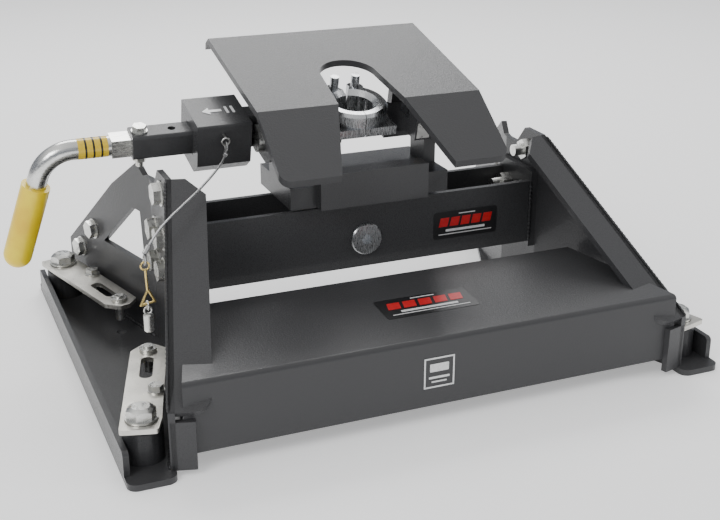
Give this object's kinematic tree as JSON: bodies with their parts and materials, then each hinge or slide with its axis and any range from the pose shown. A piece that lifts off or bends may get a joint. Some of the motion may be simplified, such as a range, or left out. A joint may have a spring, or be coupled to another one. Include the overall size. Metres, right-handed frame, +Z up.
{
  "type": "fifth wheel hitch",
  "caption": "Truck-bed fifth wheel trailer hitch with a tilting slotted skid plate, hinged jaws, pull handle and four swinging anchor lock plates.",
  "frame": {"origin": "middle of the four bed anchors, level with the underside of the base rails", "axes": "+X to the passenger side, +Y to the front of the truck, +Z up"},
  "size_m": [0.8524, 0.63, 0.3947],
  "materials": {
    "black_powder_coat": "textured gloss black powder coat",
    "zinc_plate": "bright zinc plate",
    "machined_steel": "machined and polished",
    "bronze": "plain bearing bronze",
    "bright_tube": "bright plated tube",
    "yellow_vinyl": "dipped vinyl",
    "steel_cable": "stranded galvanised",
    "yellow_zinc": "yellow zinc plate"
  },
  "bodies": {
    "root": {"anchor_bolts": "zinc_plate", "anchor_bosses": "black_powder_coat", "base_rail_left": "black_powder_coat", "base_rail_right": "black_powder_coat", "beam_bolts": "zinc_plate", "beam_end_plates": "black_powder_coat", "pivot_beam": "black_powder_coat", "rear_cross_member": "black_powder_coat", "side_pivot_pin": "machined_steel", "upright_flange_left": "black_powder_coat", "upright_flange_right": "black_powder_coat", "upright_left": "black_powder_coat", "upright_right": "black_powder_coat", "upright_top_bolts": "zinc_plate", "wing_bolts": "zinc_plate"},
    "pivot_block": {"pivot_block": "black_powder_coat", "side_pivot_bush": "bronze", "ear_bushes": "bronze"},
    "head": {"skid_plate": "black_powder_coat", "side_plate_left": "black_powder_coat", "side_plate_right": "black_powder_coat", "stub_pins": "zinc_plate", "jaw_bed": "black_powder_coat", "jaw_pins": "machined_steel", "throat_blocks": "machined_steel", "slide_guides": "black_powder_coat", "slide_housing": "black_powder_coat", "plate_block": "black_powder_coat", "data_plate": "zinc_plate", "lanyard_eyelet": "zinc_plate", "lanyard_cable": "steel_cable", "lanyard_ferrule_top": "steel_cable", "lanyard_ferrule_low": "steel_cable", "lanyard_clip": "yellow_zinc", "lanyard_link": "zinc_plate", "lanyard_pin": "zinc_plate"},
    "latch": {"lock_bar": "machined_steel", "slide_tube": "black_powder_coat", "handle_adaptor": "zinc_plate", "handle_tube": "bright_tube", "handle_grip": "yellow_vinyl", "handle_bolt": "zinc_plate"},
    "jaw_left": {"jaw_left": "machined_steel"},
    "jaw_right": {"jaw_right": "machined_steel"},
    "lock_rear_left": {"lock_plate_rear_left": "zinc_plate", "lock_screw_rear_left": "zinc_plate"},
    "pin_rear_left": {"lock_pin_rear_left": "zinc_plate"},
    "lock_front_left": {"lock_plate_front_left": "zinc_plate", "lock_screw_front_left": "zinc_plate"},
    "pin_front_left": {"lock_pin_front_left": "zinc_plate"},
    "lock_rear_right": {"lock_plate_rear_right": "zinc_plate", "lock_screw_rear_right": "zinc_plate"},
    "pin_rear_right": {"lock_pin_rear_right": "zinc_plate"},
    "lock_front_right": {"lock_plate_front_right": "zinc_plate", "lock_screw_front_right": "zinc_plate"},
    "pin_front_right": {"lock_pin_front_right": "zinc_plate"}
  },
  "joints": [
    {"name": "side_tilt", "type": "hinge", "parent": "root", "child": "pivot_block", "pos_m": [0, 0, 0.148], "axis": [0, 1, 0], "range_deg": [-3, 3]},
    {"name": "head_tilt", "type": "hinge", "parent": "pivot_block", "child": "head", "pos_m": [0, 0, 0.29], "axis": [1, 0, 0], "range_deg": [-20, 1]},
    {"name": "latch_slide", "type": "slide", "parent": "head", "child": "latch", "axis": [-1, 0, 0], "range_m": [0, 0.06]},
    {"name": "jaw_left_swing", "type": "hinge", "parent": "head", "child": "jaw_left", "pos_m": [-0.015, 0.03507, 0.32296], "axis": [0, -0.2419, 0.9703], "range_deg": [-24.01, 0]},
    {"name": "jaw_right_swing", "type": "hinge", "parent": "head", "child": "jaw_right", "pos_m": [0.015, 0.03507, 0.32296], "axis": [0, -0.2419, 0.9703], "range_deg": [0, 24.01]},
    {"name": "lock_swing_rear_left", "type": "hinge", "parent": "root", "child": "lock_rear_left", "pos_m": [-0.361, -0.256, 0.053], "axis": [0, 0, 1], "range_deg": [0, 18]},
    {"name": "lock_pin_pull_rear_left", "type": "slide", "parent": "lock_rear_left", "child": "pin_rear_left", "axis": [0, 0, 1], "range_m": [0, 0.012], "stiffness_N_per_m": 400},
    {"name": "lock_swing_front_left", "type": "hinge", "parent": "root", "child": "lock_front_left", "pos_m": [-0.361, 0.256, 0.053], "axis": [0, 0, 1], "range_deg": [-18, 0]},
    {"name": "lock_pin_pull_front_left", "type": "slide", "parent": "lock_front_left", "child": "pin_front_left", "axis": [0, 0, 1], "range_m": [0, 0.012], "stiffness_N_per_m": 400},
    {"name": "lock_swing_rear_right", "type": "hinge", "parent": "root", "child": "lock_rear_right", "pos_m": [0.361, -0.256, 0.053], "axis": [0, 0, 1], "range_deg": [-18, 0]},
    {"name": "lock_pin_pull_rear_right", "type": "slide", "parent": "lock_rear_right", "child": "pin_rear_right", "axis": [0, 0, 1], "range_m": [0, 0.012], "stiffness_N_per_m": 400},
    {"name": "lock_swing_front_right", "type": "hinge", "parent": "root", "child": "lock_front_right", "pos_m": [0.361, 0.256, 0.053], "axis": [0, 0, 1], "range_deg": [0, 18]},
    {"name": "lock_pin_pull_front_right", "type": "slide", "parent": "lock_front_right", "child": "pin_front_right", "axis": [0, 0, 1], "range_m": [0, 0.012], "stiffness_N_per_m": 400}
  ],
  "couplings": [
    {"joint": "jaw_left_swing", "follows": "latch_slide", "rad_per_m": -6.9813},
    {"joint": "jaw_right_swing", "follows": "latch_slide", "rad_per_m": 6.9813}
  ]
}
